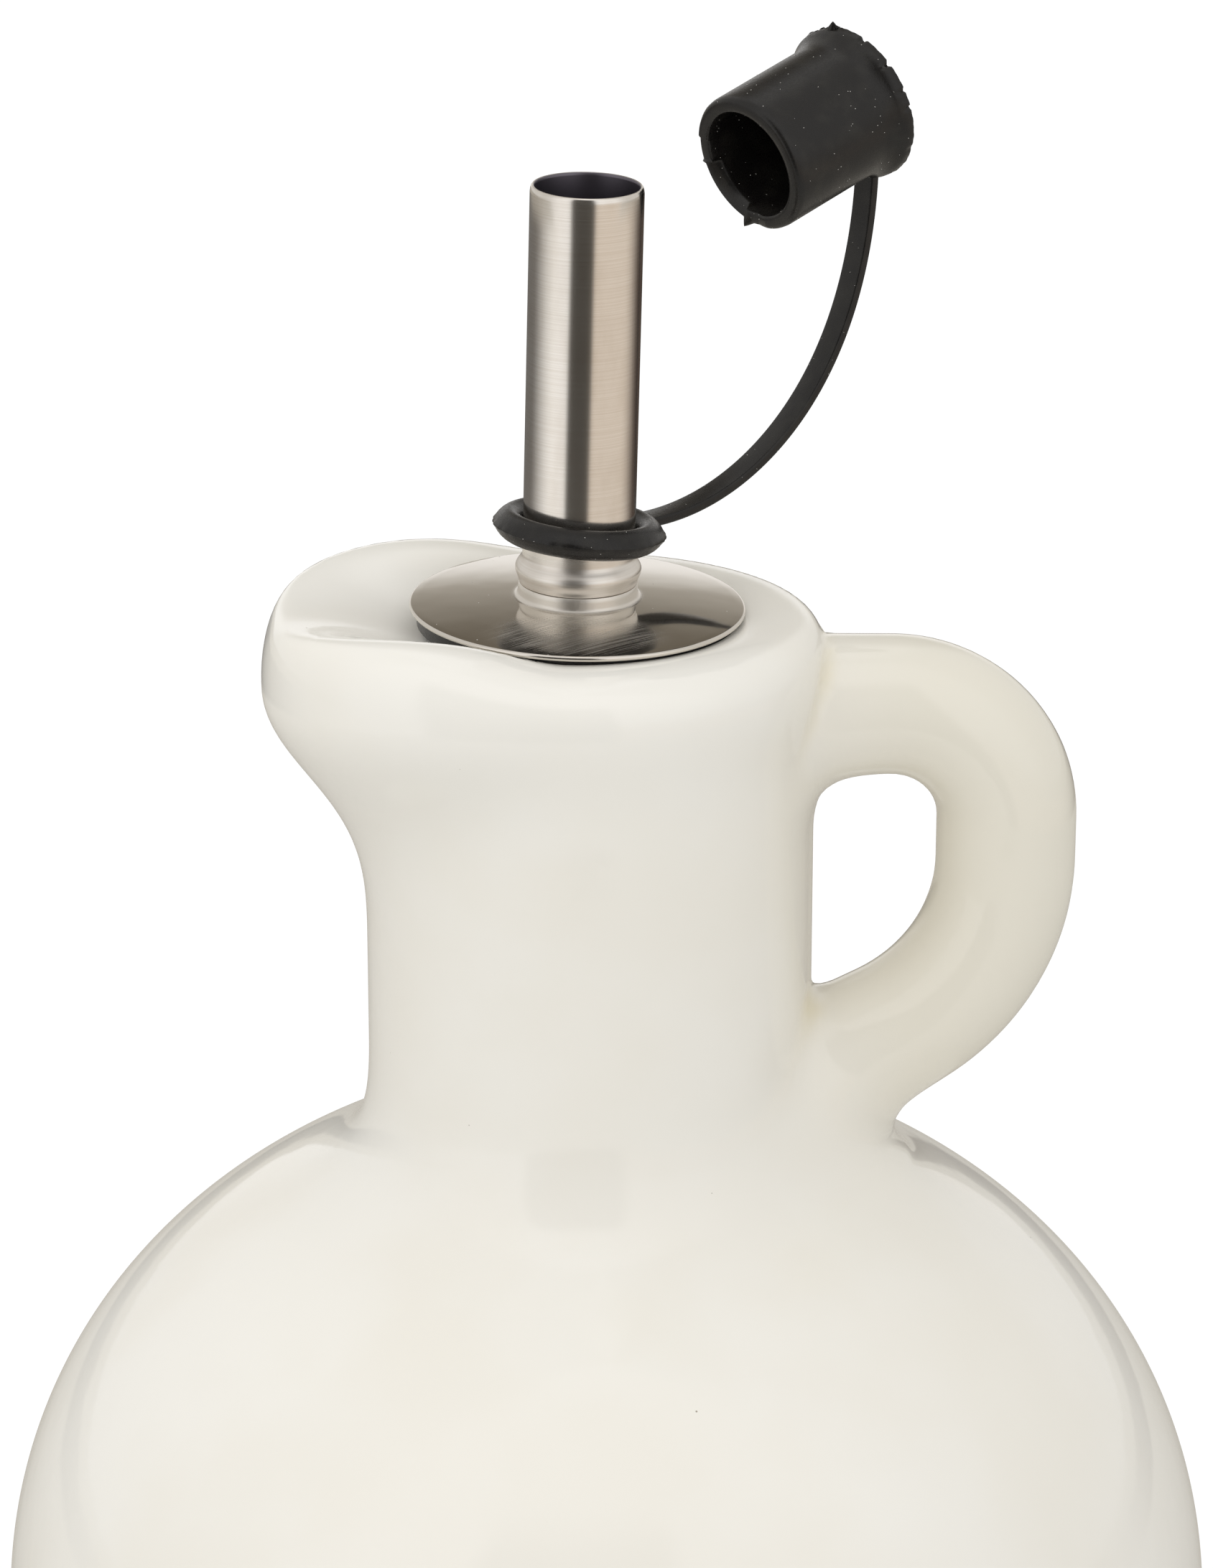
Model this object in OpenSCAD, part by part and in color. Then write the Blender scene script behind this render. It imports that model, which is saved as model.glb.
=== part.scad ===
/* [Body] */
// Largest diameter of the round body
body_d = 112.7; // [104:0.1:122]
// Height from the body's widest place to where its outline would close at the top
body_rise = 48.9; // [44:0.1:54]
// Height of the widest place above the table
body_mid_h = 42; // [39:0.1:44]
// Fullness of the body's outline, where 2 is a plain ellipse
body_fullness = 2.08; // [2:0.01:2.2]
// Thickness of the fired clay in the body
body_wall = 4.5; // [3.5:0.1:6]

/* [Foot] */
// Diameter of the foot where the body meets the table
foot_d = 60.2; // [50:0.1:70]
// Width of the unglazed ring that stands on the table
foot_ring_w = 5; // [3:0.1:8]
// Depth of the hollow inside the foot ring
foot_hollow = 1.5; // [0.8:0.1:2.5]

/* [Neck] */
// Outside diameter of the neck
neck_d = 40.1; // [38:0.1:42]
// Bore of the neck under the throat
neck_bore_d = 31; // [28:0.1:32]
// Height from the shoulder to the plane of the mouth
neck_h = 52.1; // [46:0.1:60]
// How far the neck stands from the body's axis, towards the beak
neck_offset = 1.7; // [0:0.1:2.5]
// Radius of the hollow curve where the neck meets the shoulder
neck_fillet = 3; // [2:0.1:5]

/* [Collar and beak] */
// How far the mouth stands from the body's axis, towards the beak
mouth_offset = 2.6; // [0:0.1:3]
// Reach of the collar's fullest line at the handle side, from the mouth's axis
collar_back = 22.2; // [21.4:0.1:24]
// Reach of the collar's fullest line at the two sides
collar_side = 21.3; // [20.8:0.1:23]
// Reach of the beak's fullest line
beak_reach = 28.2; // [26:0.1:32]
// Reach of the rim's ridge at the handle side
rim_back = 18.6; // [15.3:0.1:19.5]
// Reach of the rim's ridge at the two sides
rim_side = 15.4; // [14.7:0.1:16]
// Reach of the rim's ridge at the tip of the beak
rim_tip = 25.8; // [24:0.1:28]
// How far the rim lies under the mouth's plane
rim_drop = 0.5; // [0.3:0.1:1.5]
// How far the two cheeks of the beak rise above the rim
cheek_rise = 1.9; // [0:0.1:4]
// Depth of the pouring channel's inner end under the mouth's plane
channel_drop = 3.4; // [2.5:0.1:5]
// Height of the collar's fullest line under the mouth's plane, at the handle side
collar_drop = 5; // [4:0.1:7]
// Height of the beak's fullest line under the mouth's plane
beak_drop = 6.5; // [5:0.1:8]
// Height under the mouth's plane where the collar runs out into the neck
collar_runout = 17.5; // [14:0.1:20]
// Height under the mouth's plane where the beak runs out into the neck
beak_runout = 32; // [26:0.1:36]

/* [Handle] */
// Thickness of the round handle
handle_d = 12.6; // [10:0.1:14]
// Depth of the handle's upper arm under the mouth's plane
handle_drop = 9.2; // [8:0.1:12]
// Reach of the handle's middle line from the body's axis
handle_reach = 36.1; // [34:0.1:40]
// Radius of the handle's upper bend
handle_bend_top = 10.6; // [9:0.1:13]
// Length of the handle's upright back between its two bends
handle_back = 4; // [2:0.1:7]
// Radius of the handle's lower bend
handle_bend_low = 19.3; // [16:0.1:22]
// Angle that the lower bend turns through
handle_turn = 63; // [50:0.5:70]
// How far the upper arm swells downwards at its root
handle_root = 1.6; // [0:0.1:2.5]
// Length over which the upper arm swells into its root
handle_root_len = 12; // [6:0.5:16]

/* [Pouring spout] */
// Outside diameter of the steel tube
tube_d = 10; // [9:0.1:11]
// Wall of the steel tube
tube_wall = 0.4; // [0.3:0.05:0.6]
// Height of the tube's mouth above the mouth's plane
tube_rise = 38.5; // [32:0.1:46]
// Length of the tube that shows under the stopper
tube_tail = 2; // [1:0.1:4]
// Diameter over the tube's raised bead
bead_d = 11.1; // [10.8:0.1:12]
// Height of the bead's crest above the mouth's plane
bead_h = 3.5; // [3.2:0.1:4]
// Angle that the whole spout leans from upright, towards the handle
spout_lean = 1.4; // [0:0.1:2]

/* [Flange disc] */
// Diameter of the domed disc
disc_d = 30; // [29:0.1:31]
// Thickness of its sheet
disc_sheet = 0.5; // [0.4:0.05:0.6]
// Height of the top of its rim above the mouth's plane
disc_lift = 0.3; // [0:0.05:0.4]
// Rise of the dome from its rim to its collar
disc_dome = 0.8; // [0.6:0.1:1.2]
// Top of its drawn collar above the mouth's plane
disc_collar_h = 2.4; // [2.2:0.05:2.6]
// Wall of its drawn collar
disc_collar_wall = 0.35; // [0.25:0.05:0.5]

/* [Stopper] */
// Bore of the bottle's throat
throat_d = 24.6; // [23.6:0.1:25]
// Length of the throat that grips the stopper
throat_len = 19; // [16:0.1:22]
// Diameter of the stopper between its ribs
stopper_core_d = 19; // [17:0.1:21]
// Length of the stopper under its flange
stopper_len = 22; // [18:0.1:26]
// Number of gripping ribs
rib_count = 4; // [3:1:5]
// Height of one rib
rib_h = 2.2; // [1.6:0.1:2.6]
// Gap between a rib and the throat
rib_gap = 0.2; // [0.1:0.05:0.4]
// Diameter of the stopper's flange
stopper_flange_d = 28.6; // [27:0.1:28.8]
// Thickness of the stopper's flange at its edge
stopper_flange_t = 1.4; // [1.2:0.1:2]
// Gap under the flange in its seat
seat_gap = 0.05; // [0.03:0.01:0.1]
// Gap around the flange in its seat
seat_side_gap = 0.2; // [0.1:0.05:0.3]

/* [Tethered cap] */
// Direction of the strap around the spout, from the handle towards the back
cap_turn = 42.7; // [0:0.1:90]
// Running gap between the tube and what slips over it
cap_gap = 0.05; // [0.03:0.01:0.1]
// Outside diameter of the ring
ring_d = 15.3; // [14:0.1:16.5]
// Height of the ring
ring_h = 2.7; // [2:0.1:3.2]
// Height of the ring's middle above the mouth's plane
ring_z = 7.3; // [6.5:0.1:9]
// Angle that the ring sags towards the strap
ring_sag = 6; // [0:0.5:8]
// Width of the strap
strap_w = 2.4; // [2:0.1:3.5]
// Thickness of the strap
strap_t = 0.9; // [0.8:0.1:1.5]
// Length over which the strap leaves the ring along the ring's plane
strap_run = 12.8; // [10:0.1:18]
// Length over which the strap reaches the cap upright
strap_lift = 21.3; // [14:0.1:24]
// Distance of the cap's closed end from the tube's axis
cap_reach = 32.8; // [31:0.1:38]
// Height of the cap's closed end above the mouth's plane
cap_rise = 41.3; // [38:0.1:46]
// Length of the cap
cap_len = 14; // [12:0.1:17]
// Angle that the cap's mouth dips
cap_dip = 16.4; // [8:0.1:25]
// Wall of the cap
cap_wall = 1.4; // [1:0.1:2]
// Thickness of the cap's closed end
cap_end = 2; // [1.5:0.1:3]
// Diameter of the cap's end flange
cap_flange_d = 14.5; // [14:0.1:17]
// Thickness of the cap's end flange
cap_flange_t = 1; // [0.8:0.1:2.4]
// Depth of the tear in the middle of the wall at the cap's mouth
tear_depth = 0.65; // [0.4:0.05:1.2]
// Place of the tear around the cap's mouth
tear_turn = 130; // [90:1:170]

/* [Hidden] */
$fn = 96;
body_r = body_d / 2;
foot_r = foot_d / 2;
neck_r = neck_d / 2;
neck_bore_r = neck_bore_d / 2;
tube_r = tube_d / 2;
handle_r = handle_d / 2;
disc_r = disc_d / 2;
disc_collar_r = tube_r + disc_collar_wall;
throat_r = throat_d / 2;
stopper_flange_r = stopper_flange_d / 2;
ring_r = ring_d / 2;
cap_flange_r = cap_flange_d / 2;
// Half-width of a rounded outline of half-width w and rise h, at height z from its widest place
function outline_r(z, w, h) = w * pow(1 - pow(min(abs(z) / h, 1), body_fullness), 1 / body_fullness);
// Height of the same outline at distance x from its axis
function outline_z(x, w, h) = outline_r(x, h, w);
shoulder_z = body_mid_h + outline_z(neck_r, body_r, body_rise);
mouth_z = shoulder_z + neck_h;
// Depth at which the lower half's outline would close, were it not cut off at the foot
body_fall = body_mid_h / outline_r(foot_r, 1, body_r);
// The stopper's levels, as depths under the mouth's plane
flange_under = disc_sheet - disc_lift + stopper_flange_t;
stopper_end = flange_under + stopper_len;
throat_end = flange_under + throat_len;
tube_end = stopper_end + tube_tail;
// How far a cut runs past the face that it opens
PAST = 1;
// How far a form reaches into the one that it grows from
SINK = 3;
// Depth of the collar's lower edge under the neck's surface
COLLAR_TUCK = 0.3;
// Shapes of the collar's fullest line and of its ridge towards the beak, where 2 is an ellipse
FULL_SHAPE = 2.5;
RIDGE_SHAPE = 3.2;
// Shape of the roll from the fullest line up to the ridge
ROLL_SHAPE = 2.4;
// Where the beak's cheeks start, as an angle from the handle side
CHEEK_START = 92;
// How late the collar's underside swells out of the neck
UNDER_DELAY = 1.6;
// Parts of the collar's net: stations around it, then along each stretch of its section
COLLAR_TURNS = 48;
UNDER_STEPS = 8;
CREST_STEPS = 5;
INNER_STEPS = 3;
ARM_STEPS = 4;
BEND_STEPS = 8;
HANDLE_SIDES = 24;
OUTLINE_STEPS = 28;
DOME_STEPS = 6;
STRAP_STEPS = 18;
// Rib of the stopper: width of its lead-in, height of its sharp edge and share of its full height
RIB_LEAD = 0.4;
RIB_EDGE = 0.5;
RIB_FULL = 0.7;
// Bevels on the ring's outer side, on the stopper's end and under the cap's flange
RING_BEVEL = 0.6;
END_BEVEL = 1;
FLANGE_BEVEL = 1.6;
// How deep the strap's ends lie inside the ring and inside the cap's flange
STRAP_SINK = 0.8;
// Tilt of the torn face into the cap, and how much wider the tear is than the cap's wall
TEAR_TILT = 33;
TEAR_SPREAD = 2.6;

function ease(t) = (1 - cos(180 * t)) / 2;
// Radius of an oval that is round at the back and fuller at its drawn-out front
function oval(a, back, side, front, fullness) =
    let (c = cos(a), reach = c < 0 ? front : back, e = c < 0 ? fullness : 2)
    pow(pow(abs(c) / reach, e) + pow(abs(sin(a)) / side, e), -1 / e);
// A size that goes from its value at the back half to its value at the beak's tip
function mixed(a, from, to) = from + (to - from) * (cos(a) < 0 ? pow(cos(a), 2) : 0);
// Distance from the mouth's axis to a circle of radius r around the neck's axis
function neck_reach(a, r) =
    let (d = mouth_offset - neck_offset)
    d * cos(a) + sqrt(r * r - pow(d * sin(a), 2));
function rim_z(a) =
    let (u = max(0, (abs(a) - CHEEK_START) / (180 - CHEEK_START)))
    -rim_drop + cheek_rise * pow(sin(180 * u), 2);
// One section of the collar, from inside the neck, out over the roll and in to the throat
function collar_section(a) =
    let (
        inner = throat_r - SINK,
        waist = neck_reach(a, neck_r - COLLAR_TUCK),
        waist_z = -mixed(a, collar_runout, beak_runout),
        full = oval(a, collar_back, collar_side, beak_reach, FULL_SHAPE),
        full_z = -mixed(a, collar_drop, beak_drop),
        crest = oval(a, rim_back, rim_side, rim_tip, RIDGE_SHAPE),
        channel_z = -mixed(a, flange_under, channel_drop)
    )
    concat(
        [[inner, waist_z - SINK]],
        [for (i = [0:UNDER_STEPS - 1]) let (t = i / UNDER_STEPS)
            [waist + (full - waist) * ease(pow(t, UNDER_DELAY)), waist_z + (full_z - waist_z) * t]],
        [for (i = [0:CREST_STEPS]) let (t = 90 * i / CREST_STEPS) [
            crest + (full - crest) * pow(cos(t), 2 / ROLL_SHAPE),
            full_z + (rim_z(a) - full_z) * pow(sin(t), 2 / ROLL_SHAPE)
        ]],
        [for (i = [1:INNER_STEPS]) let (t = i / INNER_STEPS)
            [crest + (inner - crest) * t, rim_z(a) + (channel_z - rim_z(a)) * ease(t)]]
    );

// Closed net over sections of equal length, with a point in the middle of each end
module section_net(sections, low, high) {
    turns = len(sections);
    steps = len(sections[0]);
    points = concat([for (s = sections) each s], [low, high]);
    last = turns * steps;
    faces = [for (i = [0:turns - 1]) let (j = (i + 1) % turns) each concat(
        [[i * steps, j * steps, last], [(j + 1) * steps - 1, (i + 1) * steps - 1, last + 1]],
        [for (k = [0:steps - 2]) each [
            [j * steps + k + 1, j * steps + k, i * steps + k],
            [i * steps + k + 1, j * steps + k + 1, i * steps + k]
        ]]
    )];
    polyhedron(points, faces);
}

// The mouth's frame, which leans as the spout does
module at_mouth() {
    translate([-mouth_offset, 0, mouth_z]) rotate([0, spout_lean, 0]) children();
}

// Round form of half-width w between two levels, with its own rise and fall from its widest place
module body_form(w, rise, fall, low, high) {
    from = asin(low / fall);
    to = asin(high / rise);
    rotate_extrude() polygon(concat(
        [[0, low]],
        [for (i = [0:OUTLINE_STEPS]) let (
            s = sin(from + (to - from) * i / OUTLINE_STEPS), h = s < 0 ? fall : rise
        ) [outline_r(h * s, w, h), h * s]],
        [[0, high]]
    ));
}

// The hollow curve's lower end lies on the shoulder where the shoulder is lowest under it
module neck_form() {
    curve_x = neck_r + neck_fillet;
    curve_z = body_mid_h + outline_z(curve_x + neck_offset, body_r, body_rise) + neck_fillet;
    root = curve_z - neck_fillet - body_wall;
    translate([-neck_offset, 0, 0]) rotate_extrude() difference() {
        translate([0, root]) square([curve_x, mouth_z - collar_drop - root]);
        translate([curve_x, curve_z]) circle(neck_fillet);
        translate([neck_r, curve_z]) square([neck_fillet + PAST, neck_h]);
    }
}

// Stations lie half a step off the middle plane, so that no point falls on it
module collar_form() {
    translate([-mouth_offset, 0, mouth_z]) section_net(
        [for (i = [0:COLLAR_TURNS - 1]) let (a = 360 * (i + 0.5) / COLLAR_TURNS - 180)
            [for (p = collar_section(a)) [p[0] * cos(a), p[0] * sin(a), p[1]]]],
        [0, 0, -collar_runout - SINK],
        [0, 0, -channel_drop]
    );
}

function root_swell(x) = handle_root * pow(max(0, 1 - (x - neck_r + handle_r) / handle_root_len), 2);
// The handle's middle line, as [reach, height, heading, extra radius]: an arm, two bends and an arm
top_x = handle_reach - handle_bend_top;
top_z = mouth_z - handle_drop;
back_z = top_z - handle_bend_top;
low_x = handle_reach - handle_bend_low;
low_z = back_z - handle_back;
arm_x = low_x + handle_bend_low * cos(handle_turn);
arm_z = low_z - handle_bend_low * sin(handle_turn);
low_arm = (arm_x - neck_r + handle_r) / sin(handle_turn);
handle_path = concat(
    [for (i = [0:ARM_STEPS - 1]) let (x = neck_r - handle_r + (top_x - neck_r + handle_r) * i / ARM_STEPS)
        [x, top_z - root_swell(x), 0, root_swell(x)]],
    [for (i = [0:BEND_STEPS]) let (a = 90 * i / BEND_STEPS)
        [top_x + handle_bend_top * sin(a), back_z + handle_bend_top * cos(a), a, 0]],
    [for (i = [0:BEND_STEPS - 1]) let (a = handle_turn * i / BEND_STEPS)
        [low_x + handle_bend_low * cos(a), low_z - handle_bend_low * sin(a), 90 + a, 0]],
    [for (i = [0:ARM_STEPS]) let (s = low_arm * i / ARM_STEPS)
        [arm_x - s * sin(handle_turn), arm_z - s * cos(handle_turn), 90 + handle_turn, 0]]
);

module handle() {
    last = handle_path[len(handle_path) - 1];
    section_net(
        [for (i = [0:HANDLE_SIDES - 1]) let (a = 360 * (i + 0.5) / HANDLE_SIDES)
            [for (p = handle_path) let (r = handle_r + p[3], out = r * cos(a))
                [p[0] + out * sin(p[2]), -r * sin(a), p[1] + out * cos(p[2])]]],
        [handle_path[0][0], 0, handle_path[0][1]],
        [last[0], 0, last[1]]
    );
}

// The body's hollow, the neck's bore that narrows to the throat, and the seats for flange and disc
module bottle_hollow() {
    low = -(body_mid_h - foot_hollow - body_wall);
    narrowing = neck_bore_r - throat_r;
    bore_top = mouth_z - throat_end - narrowing - body_mid_h;
    high = outline_z(neck_bore_r, body_r, body_rise) - body_wall;
    translate([0, 0, body_mid_h])
        body_form(body_r - body_wall, body_rise - body_wall, body_fall - body_wall, low, high);
    translate([-neck_offset, 0, body_mid_h]) {
        cylinder(h = bore_top, r = neck_bore_r);
        translate([0, 0, bore_top]) cylinder(h = narrowing, r1 = neck_bore_r, r2 = throat_r);
    }
    at_mouth() {
        translate([0, 0, -throat_end - PAST]) cylinder(h = throat_end + PAST, r = throat_r);
        translate([0, 0, -flange_under - seat_gap])
            cylinder(h = flange_under + cheek_rise + PAST, r = stopper_flange_r + seat_side_gap);
        translate([0, 0, disc_lift - disc_sheet - seat_gap])
            cylinder(h = disc_sheet + cheek_rise + PAST, r = disc_r + seat_side_gap);
    }
}

module bottle() {
    color("ivory") difference() {
        union() {
            translate([0, 0, body_mid_h])
                body_form(body_r, body_rise, body_fall, -body_mid_h, shoulder_z - body_mid_h);
            neck_form();
            collar_form();
            handle();
        }
        bottle_hollow();
        translate([0, 0, -PAST]) cylinder(h = foot_hollow + PAST, r = foot_r - foot_ring_w);
    }
}

// Underside of the domed disc, from its collar out to its rim
function dome_z(r) =
    disc_lift - disc_sheet
    + disc_dome * (disc_r * disc_r - r * r) / (disc_r * disc_r - disc_collar_r * disc_collar_r);
dome_under = [for (i = [0:DOME_STEPS])
    let (r = disc_collar_r + (disc_r - disc_collar_r) * i / DOME_STEPS)
    [r, dome_z(r)]];

module stopper() {
    core_r = stopper_core_d / 2;
    rib_r = throat_r - rib_gap;
    pitch = (stopper_len - END_BEVEL) / rib_count;
    color([0.09, 0.09, 0.1]) at_mouth() difference() {
        rotate_extrude() polygon(concat(
            [[0, -stopper_end], [core_r - END_BEVEL, -stopper_end], [core_r, END_BEVEL - stopper_end]],
            [for (i = [rib_count:-1:1]) let (z = END_BEVEL / 2 - flange_under - pitch * i) each [
                [core_r, z], [rib_r - RIB_LEAD, z + RIB_EDGE], [rib_r, z + RIB_EDGE + RIB_LEAD],
                [rib_r, z + rib_h * RIB_FULL], [core_r, z + rib_h]
            ]],
            [[core_r, -flange_under], [stopper_flange_r, -flange_under],
             [stopper_flange_r, lookup(stopper_flange_r, dome_under)]],
            [for (i = [DOME_STEPS:-1:0]) if (dome_under[i][0] < stopper_flange_r) dome_under[i]],
            [[0, dome_under[0][1]]]
        ));
        translate([0, 0, -tube_end]) cylinder(h = tube_end + tube_rise, r = tube_r);
    }
}

module flange_disc() {
    color([0.72, 0.72, 0.7]) at_mouth() difference() {
        rotate_extrude() polygon(concat(
            [[0, dome_under[0][1]]],
            dome_under,
            [for (i = [DOME_STEPS:-1:0]) dome_under[i] + [0, disc_sheet]],
            [[disc_collar_r, disc_collar_h], [0, disc_collar_h]]
        ));
        translate([0, 0, -PAST]) cylinder(h = disc_collar_h + 2 * PAST, r = tube_r);
    }
}

module spout_tube() {
    bead_r = bead_h - disc_collar_h;
    lip = 1.5 * tube_wall;
    color([0.78, 0.76, 0.73]) at_mouth() difference() {
        union() {
            translate([0, 0, -tube_end]) cylinder(h = tube_end + tube_rise - lip, r = tube_r);
            translate([0, 0, tube_rise - lip]) cylinder(h = lip, r1 = tube_r, r2 = tube_r - tube_wall / 2);
            translate([0, 0, bead_h]) rotate_extrude()
                translate([bead_d / 2 - bead_r, 0]) circle(bead_r, $fn = 32);
        }
        translate([0, 0, -tube_end - PAST])
            cylinder(h = tube_end + tube_rise + 2 * PAST, r = tube_r - tube_wall);
    }
}

// The strap's middle line in its own plane: t is 0 inside the ring and 1 inside the cap's flange
strap_from = [0, ring_z] + (ring_r - STRAP_SINK) * [cos(ring_sag), -sin(ring_sag)];
strap_to = [cap_reach, cap_rise] + (cap_flange_r - STRAP_SINK) * [sin(cap_dip), -cos(cap_dip)];
function strap_point(t) =
    pow(1 - t, 3) * strap_from
    + 3 * t * pow(1 - t, 2) * (strap_from + strap_run * [cos(ring_sag), -sin(ring_sag)])
    + 3 * t * t * (1 - t) * (strap_to - [0, strap_lift])
    + t * t * t * strap_to;
function strap_side(i, out) =
    let (t = i / STRAP_STEPS, half = 0.5 / STRAP_STEPS, d = strap_point(t + half) - strap_point(t - half))
    strap_point(t) + out * [d[1], -d[0]] / norm(d);

module strap() {
    rotate([90, 0, 0]) translate([0, 0, -strap_w / 2]) linear_extrude(strap_w) polygon(concat(
        [for (i = [0:STRAP_STEPS]) strap_side(i, strap_t / 2)],
        [for (i = [STRAP_STEPS:-1:0]) strap_side(i, -strap_t / 2)]
    ));
}

// The ring's outer side is bevelled towards the parting line at its middle
module ring() {
    half = ring_h / 2;
    flat = ring_r - 2 * RING_BEVEL;
    translate([0, 0, ring_z]) rotate([0, ring_sag, 0]) rotate_extrude() polygon([
        [0, -half], [flat, -half], [ring_r - RING_BEVEL, RING_BEVEL - half], [ring_r, 0],
        [ring_r - RING_BEVEL, half - RING_BEVEL], [flat, half], [0, half]
    ]);
}

// The cap stands here on its closed end, with its mouth upwards
module cap_shell() {
    bore_r = tube_r + cap_gap;
    outer_r = bore_r + cap_wall;
    difference() {
        union() {
            cylinder(h = cap_len, r = outer_r);
            cylinder(h = cap_flange_t, r = cap_flange_r);
            translate([0, 0, cap_flange_t])
                cylinder(h = FLANGE_BEVEL, r1 = max(outer_r, cap_flange_r - cap_flange_t / 4), r2 = outer_r);
        }
        translate([0, 0, cap_end]) cylinder(h = cap_len, r = bore_r);
        rotate([0, 0, tear_turn]) translate([bore_r + cap_wall / 2, 0, cap_len]) rotate([0, -TEAR_TILT, 0])
            scale([1, TEAR_SPREAD, 1]) cylinder(h = 2 * tear_depth, r = cap_wall, center = true);
    }
}

module tethered_cap() {
    color([0.13, 0.13, 0.13]) at_mouth() difference() {
        rotate([0, 0, cap_turn]) {
            ring();
            strap();
            translate([cap_reach, 0, cap_rise]) rotate([0, -90 - cap_dip, 0]) cap_shell();
        }
        cylinder(h = ring_z + ring_d, r = tube_r + cap_gap);
    }
}

bottle();
stopper();
flange_disc();
spout_tube();
tethered_cap();
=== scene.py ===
import math

import bmesh
import bpy
import numpy as np
from mathutils import Matrix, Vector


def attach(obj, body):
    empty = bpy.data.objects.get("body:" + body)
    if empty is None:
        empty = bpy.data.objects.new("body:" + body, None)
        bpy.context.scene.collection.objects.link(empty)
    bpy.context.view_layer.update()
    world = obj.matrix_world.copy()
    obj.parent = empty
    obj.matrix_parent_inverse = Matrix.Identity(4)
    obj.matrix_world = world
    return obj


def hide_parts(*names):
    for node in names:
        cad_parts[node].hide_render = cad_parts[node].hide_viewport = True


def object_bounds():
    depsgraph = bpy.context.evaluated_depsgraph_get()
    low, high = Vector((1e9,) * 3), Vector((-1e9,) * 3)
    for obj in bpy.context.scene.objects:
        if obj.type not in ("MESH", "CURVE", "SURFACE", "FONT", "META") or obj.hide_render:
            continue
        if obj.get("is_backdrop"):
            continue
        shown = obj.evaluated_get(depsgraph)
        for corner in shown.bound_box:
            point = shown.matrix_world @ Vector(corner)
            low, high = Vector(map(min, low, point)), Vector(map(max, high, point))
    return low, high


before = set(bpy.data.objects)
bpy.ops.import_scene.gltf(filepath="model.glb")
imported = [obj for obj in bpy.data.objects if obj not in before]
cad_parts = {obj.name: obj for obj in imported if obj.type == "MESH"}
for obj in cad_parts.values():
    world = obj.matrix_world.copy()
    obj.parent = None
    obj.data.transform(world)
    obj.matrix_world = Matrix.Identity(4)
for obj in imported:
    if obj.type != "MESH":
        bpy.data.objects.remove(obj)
cad_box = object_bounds()

MM = 0.001

# Round body and foot, in millimetres like every size of the object here
BODY_R = 56.34
BODY_RISE = 48.9
BODY_MID = 42.0
FULLNESS = 2.08
FOOT_R = 30.1
FOOT_RING = 5.0
FOOT_HOLLOW = 1.5
FOOT_EDGE = 1.4
BODY_WALL = 4.5

# Neck and mouth
NECK_R = 20.05
NECK_X = -1.7
NECK_H = 52.1
NECK_BORE_R = 15.5
NECK_CURVE = 12.0
MOUTH_X = -2.6
LEAN = math.radians(1.4)
THROAT_R = 12.3
THROAT_LENGTH = 19.0

# Collar and beak, as reaches from the mouth's axis and depths under the mouth's plane
COLLAR_BACK = 22.2
COLLAR_SIDE = 21.3
BEAK_REACH = 28.2
RIM_BACK = 18.6
RIM_SIDE = 15.4
RIM_TIP = 25.8
RIM_DROP = 0.5
CHEEK_RISE = 1.9
CHEEK_START = math.radians(92)
CHANNEL_DROP = 3.4
COLLAR_DROP = 5.0
BEAK_DROP = 6.5
COLLAR_RUNOUT = 17.5
BEAK_RUNOUT = 32.0
FULL_SHAPE = 2.5
RIDGE_SHAPE = 3.2
ROLL_SHAPE = 2.4
UNDER_DELAY = 1.6

# Handle
HANDLE_R = 6.3
HANDLE_DROP = 9.2
HANDLE_REACH = 36.1
BEND_TOP = 10.6
HANDLE_BACK = 4.0
BEND_LOW = 19.3
HANDLE_TURN = math.radians(63)
ROOT_SWELL = 1.6
ROOT_LENGTH = 12.0
SEAM_X = 16.6
SEAM_R = 1.9
SEAM_CURVE = 1.6

# Pouring spout
TUBE_R = 5.0
TUBE_WALL = 0.4
TUBE_RISE = 38.5
TUBE_TAIL = 2.0
BEAD_R = 5.62
BEAD_H = 3.7
DISC_R = 15.0
DISC_SHEET = 0.5
DISC_LIFT = 0.3
DISC_DOME = 0.8
DISC_COLLAR_R = 5.35
DISC_COLLAR_H = 2.4
STOPPER_R = 9.5
STOPPER_LENGTH = 22.0
STOPPER_FLANGE_R = 14.3
STOPPER_FLANGE = 1.4
RIB_COUNT = 4
RIB_R = 12.1
RIB_H = 2.2

# Tethered cap, whose tear goes abruptly in and slants out again around its mouth
CAP_TURN = math.radians(42.7)
CAP_GAP = 0.05
RING_R = 7.65
RING_H = 2.7
RING_Z = 7.3
RING_SAG = math.radians(6)
STRAP_W = 2.4
STRAP_T = 0.9
STRAP_RUN = 12.8
STRAP_LIFT = 21.3
STRAP_SINK = 0.8
CAP_REACH = 32.8
CAP_RISE = 41.3
CAP_LENGTH = 14.0
CAP_DIP = math.radians(16.4)
CAP_WALL = 1.4
CAP_END = 2.0
CAP_FLANGE_R = 7.25
CAP_FLANGE = 1.0
TEAR_FROM = 99
TEAR_TO = 163


def outline(z, wide, high):
    """Half-width of a rounded outline at height z from its widest place."""
    return wide * (1 - np.minimum(np.abs(z) / high, 1) ** FULLNESS) ** (1 / FULLNESS)


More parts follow.
